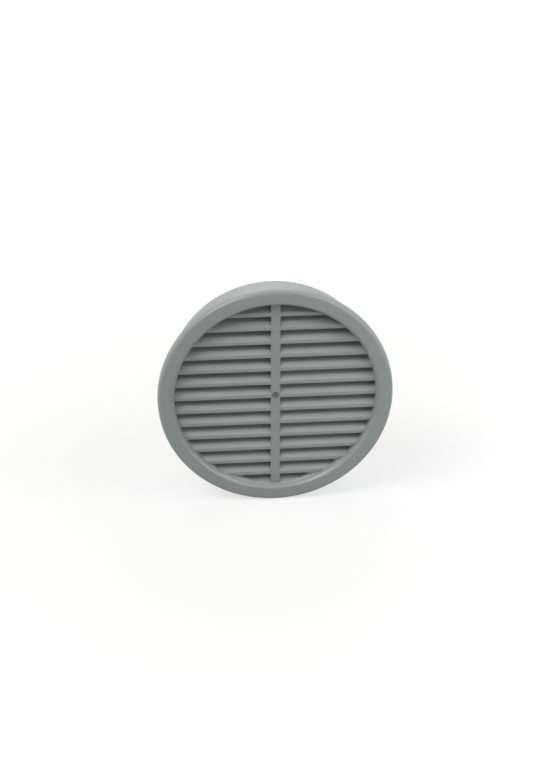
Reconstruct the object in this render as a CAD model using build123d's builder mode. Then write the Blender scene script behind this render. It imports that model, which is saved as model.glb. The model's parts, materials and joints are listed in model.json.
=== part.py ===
"""Louvred end grille for a vent pipe, moulded in one piece.

A round rim covers the cut end of the pipe, and a plain spigot behind it pushes into the pipe's bore.
Sloping louvres fill the opening, and one upright bar ties them together down the middle.

Frame: the origin is on the pipe's axis, in the plane where the rim seats on the pipe's end.
+Y runs into the pipe, +Z is up and the louvred face looks towards -Y.
"""
from build123d import *
import math
import os

# Pipe and spigot, in millimetres
pipe_bore = 103.6  # inside diameter of the pipe that takes the spigot
spigot_clearance = 0.1  # gap all round between the spigot and the pipe
spigot_wall = 2.1
spigot_length = 23.0  # from the rim's seat to the open end
spigot_lead = 1.0  # chamfer that leads the spigot into the pipe
spigot_end_bevel = 0.5  # inside edge of the open end

# Rim
rim_diameter = 116.0
rim_thickness = 4.0
rim_draft = 4.0  # degrees, the rim's edge narrows towards the front
rim_outer_round = 2.0
mouth_bevel = 1.6  # how much further out the opening's edge lies than the bore
mouth_bevel_depth = 1.1  # from the rim's face
mouth_round = 3.2  # where the bevel runs into the bore
rim_back_bevel = 0.3  # outer edge of the seat
rim_flat_share = 0.1  # least share of the rim's face that stays flat between its two edges

# Louvres
louvre_pitch = 7.3
louvre_angle = 45.0  # degrees, falling towards the front
louvre_thickness = 1.4
louvre_depth = 5.2  # along the pipe
louvre_setback = 3.3  # from the rim's face to the front edges
louvre_nose_round = 1.0  # upper corner of the front edge, the lower one is a sharp drip edge
louvre_show = 2.0  # a louvre is made where at least this much of it shows in the opening

# Upright bar
bar_width = 4.6
bar_depth = 6.4
bar_edge_round = 0.45

# Mark that the mould's gate leaves on the bar: a ring groove round a small pit
gate_height = 0.6  # above the middle of the opening
gate_groove_diameter = 3.3
gate_groove_width = 0.45
gate_groove_depth = 0.35
gate_pit_diameter = 1.0
gate_pit_depth = 1.2

# Sizes that follow from those above
spigot_radius = pipe_bore / 2 - spigot_clearance
bore_radius = spigot_radius - spigot_wall
seat_radius = bore_radius + spigot_wall / 2  # louvres and bar end inside the wall
rim_radius = rim_diameter / 2
rim_front_radius = rim_radius - rim_thickness * math.tan(math.radians(rim_draft))
rim_face_width = rim_front_radius - bore_radius
rim_round_room = rim_face_width * (1 - rim_flat_share)
rim_round_fit = min(1, rim_round_room / (mouth_bevel + rim_outer_round))  # below 1 on a narrow rim
mouth_radius = bore_radius + mouth_bevel * rim_round_fit
face_y = -rim_thickness
mouth_end_y = face_y + mouth_bevel_depth * rim_round_fit
louvre_y = face_y + louvre_setback
louvre_height = louvre_thickness / math.cos(math.radians(louvre_angle))
louvre_rise = louvre_depth * math.tan(math.radians(louvre_angle))
lowest = math.ceil((louvre_show - bore_radius - louvre_height / 2 - louvre_rise) / louvre_pitch)
highest = math.floor((bore_radius + louvre_height / 2 - louvre_show) / louvre_pitch)
louvre_count = highest - lowest + 1
louvre_middle = (highest + lowest) / 2 * louvre_pitch
louvre_front = Plane.XZ.offset(-louvre_y)  # the plane of the front edges, facing out of the pipe

os.makedirs("parts", exist_ok=True)

# Louvres and bar: flat blades with upright front edges, flush with the bar, cut to the round wall
with BuildPart() as louvres:
    with BuildSketch(Plane.YZ) as blade_sections:
        with Locations((louvre_y, louvre_middle)):
            with GridLocations(0, louvre_pitch, 1, louvre_count):
                Polygon(
                    (0, -louvre_height / 2),
                    (louvre_depth, louvre_rise - louvre_height / 2),
                    (louvre_depth, louvre_rise + louvre_height / 2),
                    (0, louvre_height / 2),
                    align=None,
                )
        front_corners = blade_sections.vertices().group_by(Axis.X)[0].sort_by(Axis.Y)
        fillet(front_corners[1::2], louvre_nose_round)
    extrude(amount=seat_radius, both=True)
    with BuildSketch(Plane.XY) as bar_section:
        with Locations((0, louvre_y)):
            Rectangle(bar_width, bar_depth, align=(Align.CENTER, Align.MIN))
        fillet(bar_section.vertices().group_by(Axis.Y)[0], bar_edge_round)
    extrude(amount=seat_radius, both=True)
    with BuildSketch(louvre_front):
        Circle(seat_radius)
    extrude(amount=-max(louvre_depth, bar_depth), mode=Mode.INTERSECT)

# Whole moulding: the rim and spigot are one section turned about the pipe's axis
with BuildPart() as vent_grille:
    with BuildSketch(Plane.XY) as ring_section:
        with BuildLine():
            Polyline(
                (bore_radius, mouth_end_y),
                (mouth_radius, face_y),
                (rim_front_radius, face_y),
                (rim_radius, 0),
                (spigot_radius, 0),
                (spigot_radius, spigot_length),
                (bore_radius, spigot_length),
                close=True,
            )
        make_face()
        mouth_corner = ring_section.vertices().group_by(Axis.X)[0].sort_by(Axis.Y)[0]
        fillet(mouth_corner, mouth_round * rim_round_fit)
        outer_corner = ring_section.vertices().group_by(Axis.Y)[0].sort_by(Axis.X)[-1]
        fillet(outer_corner, rim_outer_round * rim_round_fit)
        back_corner = ring_section.vertices().sort_by(Axis.X)[-1]
        chamfer(back_corner, rim_back_bevel)
        end_corner = ring_section.vertices().group_by(Axis.Y)[-1].sort_by(Axis.X)[0]
        chamfer(end_corner, spigot_end_bevel)
        lead_corner = ring_section.vertices().group_by(Axis.Y)[-1].sort_by(Axis.X)[-1]
        chamfer(lead_corner, spigot_lead)
    revolve(axis=Axis.Y)
    add(louvres.part)
    with BuildSketch(louvre_front):
        with Locations((0, gate_height)):
            Circle(gate_groove_diameter / 2)
            Circle(gate_groove_diameter / 2 - gate_groove_width, mode=Mode.SUBTRACT)
    extrude(amount=-gate_groove_depth, mode=Mode.SUBTRACT)
    with BuildSketch(louvre_front):
        with Locations((0, gate_height)):
            Circle(gate_pit_diameter / 2)
    extrude(amount=-gate_pit_depth, mode=Mode.SUBTRACT)

vent_grille.part.label = "vent_grille"
export_step(vent_grille.part, "parts/vent_grille.step")
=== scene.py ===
# %% [markdown]
# # A louvred grille for the end of a vent pipe
#
# The real grille is one injection moulding in grey plastic: a rounded rim, a short spigot that pushes into
# the pipe, sloping louvres across the opening and one upright bar that ties them together. This lesson
# builds the moulding's surface with numpy, gives it the satin skin of moulded plastic, and lights it softly
# on a white floor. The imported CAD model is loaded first, because it fixes the size and the place of
# everything that follows.

# %% Load the frame
import json
import math

import bmesh
import bpy
import numpy as np
from mathutils import Matrix, Vector


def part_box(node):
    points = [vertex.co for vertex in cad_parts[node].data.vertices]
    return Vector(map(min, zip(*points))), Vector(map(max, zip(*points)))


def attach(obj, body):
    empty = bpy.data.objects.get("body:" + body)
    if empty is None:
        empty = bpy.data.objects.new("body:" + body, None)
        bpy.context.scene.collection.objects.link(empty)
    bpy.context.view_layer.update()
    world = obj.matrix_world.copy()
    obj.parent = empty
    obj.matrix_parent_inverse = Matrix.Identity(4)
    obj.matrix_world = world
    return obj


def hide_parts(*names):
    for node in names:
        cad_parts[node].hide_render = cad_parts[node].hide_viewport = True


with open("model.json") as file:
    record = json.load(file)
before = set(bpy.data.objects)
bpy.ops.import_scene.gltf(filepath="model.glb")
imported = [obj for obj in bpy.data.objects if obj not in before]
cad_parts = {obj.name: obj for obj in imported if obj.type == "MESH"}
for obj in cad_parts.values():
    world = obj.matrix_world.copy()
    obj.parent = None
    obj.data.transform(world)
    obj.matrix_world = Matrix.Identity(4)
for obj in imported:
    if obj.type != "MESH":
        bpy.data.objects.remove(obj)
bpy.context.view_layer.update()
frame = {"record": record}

# %% [markdown]
# ## Sizes
#
# The outer sizes come from the frame: the rim's radius, the face and the open end are the CAD node's own
# corners, and the spigot's radius is the mount that the pipe fits. The moulding's smaller sizes are written
# in millimetres, each where it is first needed, and turned into metres there.

# %% Sizes that the pieces share
mm = 0.001
low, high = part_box("vent_grille")
mounts = {mount["name"]: mount for mount in frame["record"]["mounts"]}

rim_radius = high.x
face_y = low.y
spigot_end_y = high.y
spigot_radius = mounts["pipe_spigot"]["dims"]["r_mm"] * mm
spigot_wall = 2.1 * mm
bore_radius = spigot_radius - spigot_wall
seat_radius = (spigot_radius + bore_radius) / 2  # louvres and bar end half way through the wall
print(f"opening {2 * bore_radius / mm:.1f} mm across, wall {spigot_wall / mm:.1f} mm")

# %% [markdown]
# ## Rounded outlines
#
# No edge of a moulding is truly sharp, so every section here is a polygon whose corners are replaced by
# arcs. A Bevel modifier could round the finished mesh, but it struggles where the louvres run into the
# round wall. Rounding the flat outline first is exact, and the arcs get as many points as they need. Long
# straight sides are then divided, so that the faces stay evenly shaped.


# %% Outline helpers
def rounded(section, steps=8):
    """A closed outline with an arc at each corner, from rows of two coordinates and the arc's radius.

    At a corner, the arc's centre lies on the bisector at radius / sin(half the corner's angle). The arc
    starts and stops where the two sides touch it, and between them the spoke from the centre turns evenly:
    (sin((1 - t) a) start + sin(t a) stop) / sin(a), where a is the whole turn and t runs from 0 to 1.
    """
    section = np.asarray(section, dtype=float)
    corners, radii = section[:, :2], section[:, 2:]
    back = np.roll(corners, 1, axis=0) - corners
    ahead = np.roll(corners, -1, axis=0) - corners
    back /= np.linalg.norm(back, axis=1, keepdims=True)
    ahead /= np.linalg.norm(ahead, axis=1, keepdims=True)
    half = np.arccos(np.clip((back * ahead).sum(axis=1, keepdims=True), -1, 1)) / 2
    middle = (back + ahead) / np.linalg.norm(back + ahead, axis=1, keepdims=True)
    centre = corners + middle * radii / np.sin(half)
    start = corners + back * radii / np.tan(half) - centre
    stop = corners + ahead * radii / np.tan(half) - centre
    turn = (math.pi - 2 * half)[:, None]
    t = np.linspace(0, 1, steps + 1)[None, :, None]
    spokes = (np.sin((1 - t) * turn) * start[:, None] + np.sin(t * turn) * stop[:, None]) / np.sin(turn)
    return (centre[:, None] + spokes).reshape(-1, 2)


def divided(outline, longest):
    """The same closed outline with points added evenly, so that no side is longer than longest.

    A side in n parts has the points (1 - k / n) of its start plus k / n of its end, for k from 0 to n - 1.
    """
    ahead = np.roll(outline, -1, axis=0)
    lengths = np.linalg.norm(ahead - outline, axis=1)
    parts = np.maximum(1, np.ceil(lengths / longest).astype(int))
    side = np.repeat(np.arange(len(outline)), parts)
    k = np.arange(parts.sum()) - np.repeat(np.cumsum(parts) - parts, parts)
    share = (k / parts[side])[:, None]
    return outline[side] * (1 - share) + ahead[side] * share


# %% [markdown]
# ## Lathe
#
# A round piece is an outline turned about the pipe's axis. A Screw modifier could do that too. Here it is a
# grid with two parameters, the angle and the place along the outline, so the points come from whole arrays
# and the faces from index arithmetic. The same grid serves the straight pieces later.


# %% Lathe helpers
def grid_faces(rows, columns, close_rows):
    """Four-sided faces of a grid whose columns close on themselves, and whose rows may too.

    The face at (row, column) joins that point with its neighbours in the next row and the next column,
    and point (row, column) has the number row * columns + column.
    """
    row = np.arange(rows if close_rows else rows - 1)[:, None]
    column = np.arange(columns)[None, :]
    next_row = (row + 1) % rows
    next_column = (column + 1) % columns
    corners = [row * columns + column, next_row * columns + column,
               next_row * columns + next_column, row * columns + next_column]
    return np.stack(np.broadcast_arrays(*corners), axis=-1).reshape(-1, 4)


def turned(outline, steps):
    """An outline of (radius, y) turned about the Y axis.

    A point at radius r goes to (r cos a, y, r sin a), for angles a in even steps of one full turn.
    """
    angle = np.linspace(0, 2 * math.pi, steps, endpoint=False)[:, None]
    radius, y = outline[:, 0][None, :], outline[:, 1][None, :]
    points = np.stack([radius * np.cos(angle), y + 0 * angle, radius * np.sin(angle)], axis=-1)
    return points.reshape(-1, 3), grid_faces(steps, len(outline), True).tolist()


# %% Mesh helper
def solid(name, points, faces):
    """A mesh object at the origin from points and faces, with its faces turned outwards."""
    mesh = bpy.data.meshes.new(name)
    mesh.from_pydata(points.tolist(), [], faces)
    work = bmesh.new()
    work.from_mesh(mesh)
    bmesh.ops.recalc_face_normals(work, faces=work.faces)
    work.to_mesh(mesh)
    work.free()
    piece = bpy.data.objects.new(name, mesh)
    bpy.context.scene.collection.objects.link(piece)
    return piece


# %% [markdown]
# ## Rim and spigot
#
# The rim and the spigot are one turned section. The rim's edge narrows a little towards the front, so that
# the part leaves its mould, and its outer corner is well rounded. The opening's edge is crisper: a small
# round, then a bevel that runs into the bore in a wide arc. That arc makes the light band round the lower
# half of the opening. The spigot's end has a lead-in chamfer. Each row of the section is a radius, a place
# along the pipe and the round at that corner.

# %% Rim and spigot
rim_thickness = -face_y
rim_draft = math.radians(4)
rim_front_radius = rim_radius - rim_thickness * math.tan(rim_draft)
mouth_bevel = 1.6 * mm
mouth_bevel_depth = 1.1 * mm
spigot_lead = 1.0 * mm
ring_section = [
    (bore_radius + mouth_bevel, face_y, 0.5 * mm),  # edge of the opening
    (rim_front_radius, face_y, 2.0 * mm),  # outer corner of the face
    (rim_radius, 0, 0.3 * mm),  # back edge of the rim
    (spigot_radius, 0, 0.1 * mm),  # seat on the pipe's end
    (spigot_radius, spigot_end_y - spigot_lead, 0.2 * mm),  # start of the lead-in
    (spigot_radius - spigot_lead, spigot_end_y, 0.2 * mm),  # open end, outside
    (bore_radius, spigot_end_y, 0.6 * mm),  # open end, inside
    (bore_radius, face_y + mouth_bevel_depth, 3.2 * mm),  # where the bevel runs into the bore
]
ring_outline = divided(rounded(ring_section, steps=10), longest=2.5 * mm)
moulding = solid("grille_moulding", *turned(ring_outline, steps=420))
print("rim and spigot:", len(moulding.data.polygons), "faces")

# %% [markdown]
# ## Extrusion
#
# The louvres and the bar are outlines carried along a straight path. Blender's own extrude would give them
# flat ends. Here each point of the outline has a reach of its own, so the ends can follow the round wall.


# %% Extrusion helper
def carried(outline, reach, path_axis, stations=2):
    """An outline carried along an axis from -reach to +reach, and closed by a fan of triangles at each end.

    Point (s, i) is the outline's point i, moved s times reach[i] along the path, for s from -1 to 1.
    """
    count = len(outline)
    s = np.linspace(-1, 1, stations)[:, None]
    along = s * reach[None, :]
    across = np.broadcast_to(outline[None], (stations, count, 2))
    points = np.insert(across, path_axis, along, axis=2).reshape(-1, 3)
    ends = points.reshape(stations, count, 3)[[0, -1]].mean(axis=1)
    ring = np.arange(count)
    next_ring = (ring + 1) % count
    last = (stations - 1) * count
    first_fan = np.stack([ring, next_ring, np.full(count, stations * count)], axis=1)
    last_fan = np.stack([last + next_ring, last + ring, np.full(count, stations * count + 1)], axis=1)
    faces = grid_faces(stations, count, False).tolist() + first_fan.tolist() + last_fan.tolist()
    return np.concatenate([points, ends]), faces


# %% [markdown]
# ## Louvres
#
# Each louvre is a flat blade that falls towards the front and ends in a short upright edge. The upper
# corner of that edge is full and round, and the lower one is a crisp drip edge. An Array modifier could
# repeat one blade, but each has its own length. So each is the same section, raised by its number of
# pitches and carried half way into the round wall: its reach at height z is the square root of the seat's
# radius squared less z squared. The lowest blade runs out into the wall, so its outline is held inside the
# wall's thickness.

# %% Louvre section
fine_round = 0.15 * mm
nose_round = 1.0 * mm
louvre_setback = 3.3 * mm
louvre_y = face_y + louvre_setback
louvre_depth = 5.2 * mm
louvre_back_y = louvre_y + louvre_depth
louvre_slope = math.radians(45)
louvre_rise = louvre_depth * math.tan(louvre_slope)
louvre_thickness = 1.4 * mm
louvre_half = louvre_thickness / math.cos(louvre_slope) / 2  # half the upright front edge
blade_section = [
    (louvre_y, -louvre_half, fine_round),
    (louvre_back_y, louvre_rise - louvre_half, fine_round),
    (louvre_back_y, louvre_rise + louvre_half, fine_round),
    (louvre_y, louvre_half, nose_round),
]
blade_outline = divided(rounded(blade_section, steps=8), longest=0.9 * mm)
print("louvre section:", len(blade_outline), "points")

# %% Louvres
louvre_pitch = 7.3 * mm
louvre_numbers = range(-7, 7)  # counted from the blade at the middle of the opening, upwards
blade_limit = seat_radius - 0.4 * mm  # no blade goes higher or lower than this


def louvre(number):
    """One blade: the outline raised by its number of pitches and carried along X to the round wall."""
    outline = blade_outline + (0, number * louvre_pitch)
    outline[:, 1] = np.clip(outline[:, 1], -blade_limit, blade_limit)
    reach = np.sqrt(seat_radius**2 - outline[:, 1] ** 2)
    return solid(f"louvre_{number}", *carried(outline, reach, path_axis=0, stations=9))


louvres = [louvre(number) for number in louvre_numbers]
print("louvres:", len(louvres))

# %% [markdown]
# ## Bar and gate mark
#
# The bar is flush with the louvres' front edges, with small rounds along its two long edges. In its middle
# is the mark of the mould's gate, where the plastic flowed in: a ring groove round a small deep pit. A
# material could paint the mark, but here it is cut into the bar, so it is part of the mesh. The material
# adds painted shade in its pit and groove.

# %% Bar
bar_half_width = 2.3 * mm
bar_depth = 6.4 * mm
bar_back_y = louvre_y + bar_depth
bar_edge_round = 0.45 * mm
bar_section = [
    (-bar_half_width, louvre_y, bar_edge_round),
    (bar_half_width, louvre_y, bar_edge_round),
    (bar_half_width, bar_back_y, fine_round),
    (-bar_half_width, bar_back_y, fine_round),
]
bar_outline = rounded(bar_section)
bar_reach = np.sqrt(seat_radius**2 - bar_outline[:, 0] ** 2)
bar = solid("bar", *carried(bar_outline, bar_reach, path_axis=2, stations=15))
print("bar:", len(bar.data.polygons), "faces")

# %% Cutters for the gate mark
gate_height = 0.6 * mm
groove_inner = 1.15 * mm
groove_outer = 1.65 * mm
groove_top_y = louvre_y - 0.4 * mm  # the cutter stands out of the bar
groove_floor_y = louvre_y + 0.5 * mm
groove_top_round = 0.05 * mm
groove_floor_round = 0.18 * mm
groove_section = [
    (groove_inner, groove_top_y, groove_top_round),
    (groove_outer, groove_top_y, groove_top_round),
    (groove_outer, groove_floor_y, groove_floor_round),
    (groove_inner, groove_floor_y, groove_floor_round),
]
groove_points, groove_faces = turned(rounded(groove_section, steps=5), steps=64)
groove = solid("gate_groove", groove_points + (0, 0, gate_height), groove_faces)

pit_radius = 0.55 * mm
pit_depth = 1.2 * mm
pit_steps = 40
pit_angle = np.linspace(0, 2 * math.pi, pit_steps, endpoint=False)
pit_outline = pit_radius * np.stack([np.cos(pit_angle), np.sin(pit_angle)], axis=1)
pit_points, pit_faces = carried(pit_outline, np.full(pit_steps, pit_depth), path_axis=1)
pit = solid("gate_pit", pit_points + (0, louvre_y, gate_height), pit_faces)
print("gate mark:", len(groove.data.polygons) + len(pit.data.polygons), "faces to cut with")

# %% [markdown]
# ## One moulding
#
# The real part has no seams, so the blades and the bar are joined to the rim with Booleans, and the gate
# mark is cut out. Pieces that only overlap would look much the same, but they would leave hidden faces
# inside the walls. The result is one closed mesh. Its faces are shaded smooth, and edges that turn sharply
# are marked sharp, so the flats stay flat and the rounds stay round.

# %% Join with Booleans
tools = [(piece, "UNION") for piece in louvres + [bar]] + [(groove, "DIFFERENCE"), (pit, "DIFFERENCE")]
for piece, operation in tools:
    step = moulding.modifiers.new(piece.name, "BOOLEAN")
    step.operation = operation
    step.solver = "EXACT"
    step.object = piece
evaluated = moulding.evaluated_get(bpy.context.evaluated_depsgraph_get())
joined = bpy.data.meshes.new_from_object(evaluated)
moulding.modifiers.clear()
moulding.data = joined
for piece, _ in tools:
    bpy.data.objects.remove(piece)
print("joined:", len(joined.polygons), "faces, by", len(tools), "Booleans")

# %% Clean the mesh and shade it
merge_distance = 0.002 * mm
sharp_angle = math.radians(28)
work = bmesh.new()
work.from_mesh(joined)
bmesh.ops.remove_doubles(work, verts=work.verts, dist=merge_distance)
bmesh.ops.dissolve_degenerate(work, edges=work.edges, dist=merge_distance)
open_edges = sum(not edge.is_manifold for edge in work.edges)
volume = work.calc_volume(signed=True)
work.to_mesh(joined)
work.free()
joined.shade_smooth()
joined.set_sharp_from_angle(angle=sharp_angle)
joined.calc_loop_triangles()
print("moulding:", len(joined.loop_triangles), "triangles,", open_edges, "open edges,",
      f"{volume * 1e6:.2f} cubic centimetres")

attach(moulding, "root")
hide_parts("vent_grille")

# %% [markdown]
# ## Grey plastic
#
# Moulded plastic is not one flat grey. The pigment clouds slightly over centimetres, there is a finer
# mottle, and the skin has a faint orange peel that breaks up reflections. A painted image could hold all
# this, but noise has no seams and needs no unwrapping. The patterns read Object coordinates, in metres, so
# a noise scale of 40 makes clouds about 25 mm across. The gate mark's pit and groove get painted shade:
# the distance from the mark's centre darkens their colour, where shade falls in those hollows.


# %% Patterns
def noise(tree, scale, detail):
    """Noise between 0 and 1, in patches of about 1 / scale metres."""
    place = tree.nodes.new("ShaderNodeTexCoord").outputs["Object"]
    texture = tree.nodes.new("ShaderNodeTexNoise")
    texture.inputs["Scale"].default_value = scale
    texture.inputs["Detail"].default_value = detail
    tree.links.new(place, texture.inputs["Vector"])
    return texture.outputs["Fac"]


def distance_from(tree, point):
    """The distance from a point, in metres."""
    place = tree.nodes.new("ShaderNodeTexCoord").outputs["Object"]
    measure = tree.nodes.new("ShaderNodeVectorMath")
    measure.operation = "DISTANCE"
    measure.inputs[1].default_value = point
    tree.links.new(place, measure.inputs[0])
    return measure.outputs["Value"]


# %% What a pattern turns into
def remapped(tree, value, start, stop, first, last):
    """A value between start and stop, moved evenly to between first and last, and held there outside."""
    line = tree.nodes.new("ShaderNodeMapRange")
    line.inputs["From Min"].default_value = start
    line.inputs["From Max"].default_value = stop
    line.inputs["To Min"].default_value = first
    line.inputs["To Max"].default_value = last
    tree.links.new(value, line.inputs["Value"])
    return line.outputs["Result"]


def ramp(tree, value, stops):
    """A colour that changes evenly from stop to stop: a stop is a value from 0 to 1 and its colour."""
    blend = tree.nodes.new("ShaderNodeValToRGB")
    elements = blend.color_ramp.elements
    for position, _ in stops[1:-1]:
        elements.new(position)
    for element, (position, colour) in zip(elements, stops):
        element.position = position
        element.color = (*colour, 1)
    tree.links.new(value, blend.inputs["Fac"])
    return blend.outputs["Color"]


def multiplied(tree, first, second):
    """Two colours multiplied, so that the second darkens the first."""
    product = tree.nodes.new("ShaderNodeMix")
    product.data_type = "RGBA"
    product.blend_type = "MULTIPLY"
    product.inputs["Factor"].default_value = 1.0
    tree.links.new(first, product.inputs["A"])
    tree.links.new(second, product.inputs["B"])
    return product.outputs["Result"]


# %% Pigment and painted shade
def pigment(tree):
    """Grey that clouds over centimetres, with a finer mottle."""
    dark_grey = (0.252, 0.275, 0.264)
    light_grey = (0.272, 0.295, 0.287)
    off_white = (0.965, 0.965, 0.965)
    white = (1.0, 1.0, 1.0)
    clouds = ramp(tree, noise(tree, scale=40, detail=4.0), [(0.3, dark_grey), (0.7, light_grey)])
    mottle = ramp(tree, noise(tree, scale=300, detail=3.0), [(0.3, off_white), (0.7, white)])
    return multiplied(tree, clouds, mottle)


def gate_shade(tree):
    """Painted shade in the gate mark: dark in its pit, grey in its groove and white elsewhere.

    Each level has its place as a share of the shade's reach, measured from the mark's centre.
    """
    shade_reach = 2.0 * mm
    pit_level = 0.1
    groove_level = 0.35
    unshaded = 1.0
    levels = [(0.0, pit_level), (0.29, pit_level), (0.34, unshaded), (0.54, unshaded),
              (0.59, groove_level), (0.79, groove_level), (0.85, unshaded)]
    distance = distance_from(tree, (0, louvre_y, gate_height))
    share = remapped(tree, distance, start=0, stop=shade_reach, first=0, last=1)
    return ramp(tree, share, [(position, (level, level, level)) for position, level in levels])


# %% Grey plastic
def grey_plastic():
    """Satin grey moulded plastic: clouded pigment, slightly uneven gloss and an orange-peel skin."""
    material = bpy.data.materials.new("grey_plastic")
    material.use_nodes = True
    tree = material.node_tree
    shader = tree.nodes["Principled BSDF"]
    # The base colour is the pigment, darkened by painted shade in the gate mark's pit and groove.
    tree.links.new(multiplied(tree, pigment(tree), gate_shade(tree)), shader.inputs["Base Color"])
    patches = noise(tree, scale=120, detail=3.0)
    roughness = remapped(tree, patches, start=0, stop=1, first=0.29, last=0.37)
    tree.links.new(roughness, shader.inputs["Roughness"])
    peel = tree.nodes.new("ShaderNodeBump")
    peel.inputs["Strength"].default_value = 0.25
    peel.inputs["Distance"].default_value = 0.03 * mm
    tree.links.new(noise(tree, scale=420, detail=2.0), peel.inputs["Height"])
    tree.links.new(peel.outputs["Normal"], shader.inputs["Normal"])
    return material


joined.materials.clear()
joined.materials.append(grey_plastic())
print("material:", joined.materials[0].name)

# %% [markdown]
# ## Floor
#
# The floor is a plain sheet that the rim stands on. To the camera, and in reflections, it glows a little,
# so that it reads as white paper and still shows the soft shadow. The glow rises away from the grille,
# where the lamps fade. Stronger lamps could whiten the paper too, but they would wash out the plastic. To
# all other rays the floor is plain matt paper, so the glow shows in reflections but lights nothing else.


# %% Floor helpers
def seen_rays(tree):
    """1 for camera, glossy and transmission rays and 0 for the rays that carry light between surfaces."""
    path = tree.nodes.new("ShaderNodeLightPath")
    total = path.outputs["Is Camera Ray"]
    for kind in ("Is Glossy Ray", "Is Transmission Ray"):
        either = tree.nodes.new("ShaderNodeMath")
        either.operation = "MAXIMUM"
        tree.links.new(total, either.inputs[0])
        tree.links.new(path.outputs[kind], either.inputs[1])
        total = either.outputs["Value"]
    return total


def matt(tree, level):
    """A matt grey surface that gives back this share of the light."""
    surface = tree.nodes.new("ShaderNodeBsdfDiffuse")
    surface.inputs["Color"].default_value = (level, level, level, 1)
    return surface.outputs["BSDF"]


# %% Floor
def white_floor():
    """Matt paper, with a glow of its own only where a camera, glossy or transmission ray meets it.

    The glow is 0.7 up to 0.1 m from the grille's middle and rises evenly to 1 at 0.7 m.
    """
    shadow_level = 0.25
    paper_level = 0.6
    material = bpy.data.materials.new("white_floor")
    material.use_nodes = True
    tree = material.node_tree
    tree.nodes.remove(tree.nodes["Principled BSDF"])
    glow = tree.nodes.new("ShaderNodeEmission")
    distance = distance_from(tree, (0, 0, 0))
    strength = remapped(tree, distance, start=0.1, stop=0.7, first=0.7, last=1.0)
    tree.links.new(strength, glow.inputs["Strength"])
    white = tree.nodes.new("ShaderNodeAddShader")
    tree.links.new(matt(tree, shadow_level), white.inputs[0])
    tree.links.new(glow.outputs["Emission"], white.inputs[1])
    chosen = tree.nodes.new("ShaderNodeMixShader")
    tree.links.new(seen_rays(tree), chosen.inputs["Fac"])
    tree.links.new(matt(tree, paper_level), chosen.inputs[1])
    tree.links.new(white.outputs["Shader"], chosen.inputs[2])
    tree.links.new(chosen.outputs["Shader"], tree.nodes["Material Output"].inputs["Surface"])
    return material


floor_half = 6.0
floor_points = [(-floor_half, -floor_half, low.z), (floor_half, -floor_half, low.z),
                (floor_half, floor_half, low.z), (-floor_half, floor_half, low.z)]
floor_mesh = bpy.data.meshes.new("floor")
floor_mesh.from_pydata(floor_points, [], [(0, 1, 2, 3)])
floor = bpy.data.objects.new("floor", floor_mesh)
bpy.context.scene.collection.objects.link(floor)
floor_mesh.materials.append(white_floor())
print("floor at", round(low.z, 4), "m")

# %% [markdown]
# ## World and lamps
#
# The world is white where it is seen, directly or in a reflection, and gives no light of its own. A world
# that lit everything evenly would be simpler, but it would fill the dark lines between the louvres. The
# light comes from softboxes instead. The strongest is high on the left. Others fill in from the left, the
# front, the right, above and behind, and small ones close to the right side light that half of the rim.
# Each has a mild tint of its own. The camera doesn't see the lamps themselves, but reflections do.


# %% World
def white_world():
    """White for camera, glossy and transmission rays, dark for all others."""
    world = bpy.data.worlds.new("studio")
    world.use_nodes = True
    tree = world.node_tree
    background = tree.nodes["Background"]
    background.inputs["Color"].default_value = (1, 1, 1, 1)
    tree.links.new(seen_rays(tree), background.inputs["Strength"])
    return world


bpy.context.scene.world = white_world()
print("world:", bpy.context.scene.world.name)


# %% Softboxes
def softbox(name, azimuth, elevation, distance, size, power, colour):
    """A square lamp that faces the grille, placed by its direction and its distance.

    Azimuth 0 is in front and 90 to the right, in degrees. Distance and size are in metres, power in watts.
    """
    a, e = math.radians(azimuth), math.radians(elevation)
    away = Vector((math.sin(a) * math.cos(e), -math.cos(a) * math.cos(e), math.sin(e)))
    data = bpy.data.lights.new(name, "AREA")
    data.size = size
    data.energy = power
    data.color = colour
    lamp = bpy.data.objects.new(name, data)
    lamp.location = away * distance
    lamp.visible_camera = False
    lamp.rotation_mode = "QUATERNION"
    lamp.rotation_quaternion = away.to_track_quat("Z", "Y")
    bpy.context.scene.collection.objects.link(lamp)
    return lamp


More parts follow.
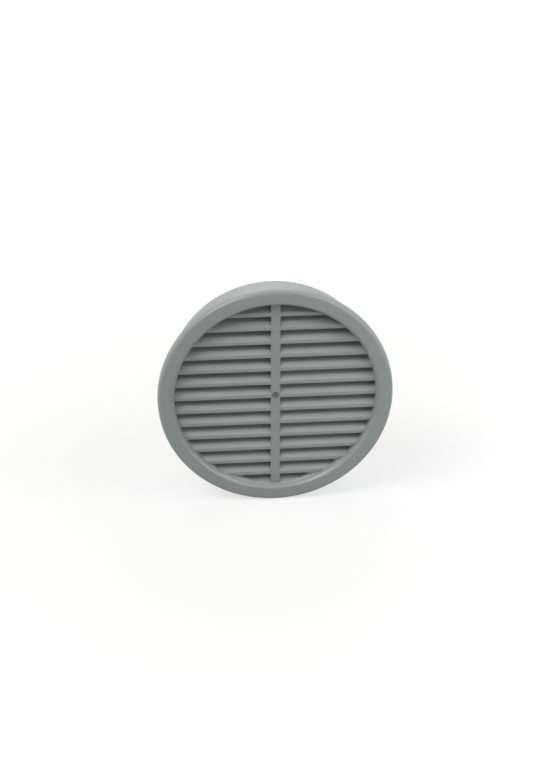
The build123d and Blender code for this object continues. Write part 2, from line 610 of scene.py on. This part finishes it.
lamps = [
    softbox("key_left", -60, 50, 1.5, 0.6, 10.8, (1.0, 0.98, 0.96)),
    softbox("key_front", -35, 50, 1.0, 0.4, 1.6, (0.85, 0.96, 1.0)),
    softbox("key_right", 40, 50, 1.0, 0.4, 1.25, (0.83, 0.95, 1.0)),
    softbox("glint_right", 70, 42, 0.5, 0.18, 0.43, (1.0, 0.94, 0.92)),
    softbox("near_right", 60, 12, 0.3, 0.2, 0.19, (0.83, 1.0, 0.97)),
    softbox("near_right_high", 80, 30, 0.3, 0.2, 0.13, (1.0, 0.95, 0.91)),
    softbox("left", -90, 20, 1.0, 0.6, 2.5, (1.0, 0.93, 0.78)),
    softbox("overhead", 0, 88, 1.0, 0.8, 2.0, (1.0, 0.87, 0.82)),
    softbox("low_back", 180, 20, 1.0, 1.0, 1.4, (0.9, 1.0, 0.97)),
    softbox("high_back", 180, 45, 1.0, 0.6, 2.0, (0.88, 1.0, 0.98)),
]
print("lamps:", len(lamps))

# %% [markdown]
# ## Camera
#
# The camera looks down on the grille from the front, a little to its left. A Track To constraint could aim
# it. Here its place is given by two angles, a distance and the point it aims at, measured across and up in
# the picture, because then each can be changed without the others.

# %% Camera
view_azimuth = math.radians(-4.788)
view_elevation = math.radians(27.855)
view_distance = 0.68896
aim_across = -4.401 * mm
aim_up = 3.203 * mm
lens_length = 64.836

back = Vector((math.sin(view_azimuth) * math.cos(view_elevation),
               -math.cos(view_azimuth) * math.cos(view_elevation), math.sin(view_elevation)))
across = Vector((math.cos(view_azimuth), math.sin(view_azimuth), 0))
up = back.cross(across)
camera_data = bpy.data.cameras.new("camera")
camera_data.lens = lens_length
camera_data.sensor_width = 36
camera_data.sensor_fit = "AUTO"
camera_data.clip_start = 0.01
camera = bpy.data.objects.new("camera", camera_data)
turn = Matrix((across, up, back)).transposed().to_4x4()
camera.matrix_world = Matrix.Translation(back * view_distance + across * aim_across + up * aim_up) @ turn
bpy.context.scene.collection.objects.link(camera)
bpy.context.scene.camera = camera
bpy.context.scene.view_settings.view_transform = "Standard"
print("camera at", [round(v, 4) for v in camera.matrix_world.translation])
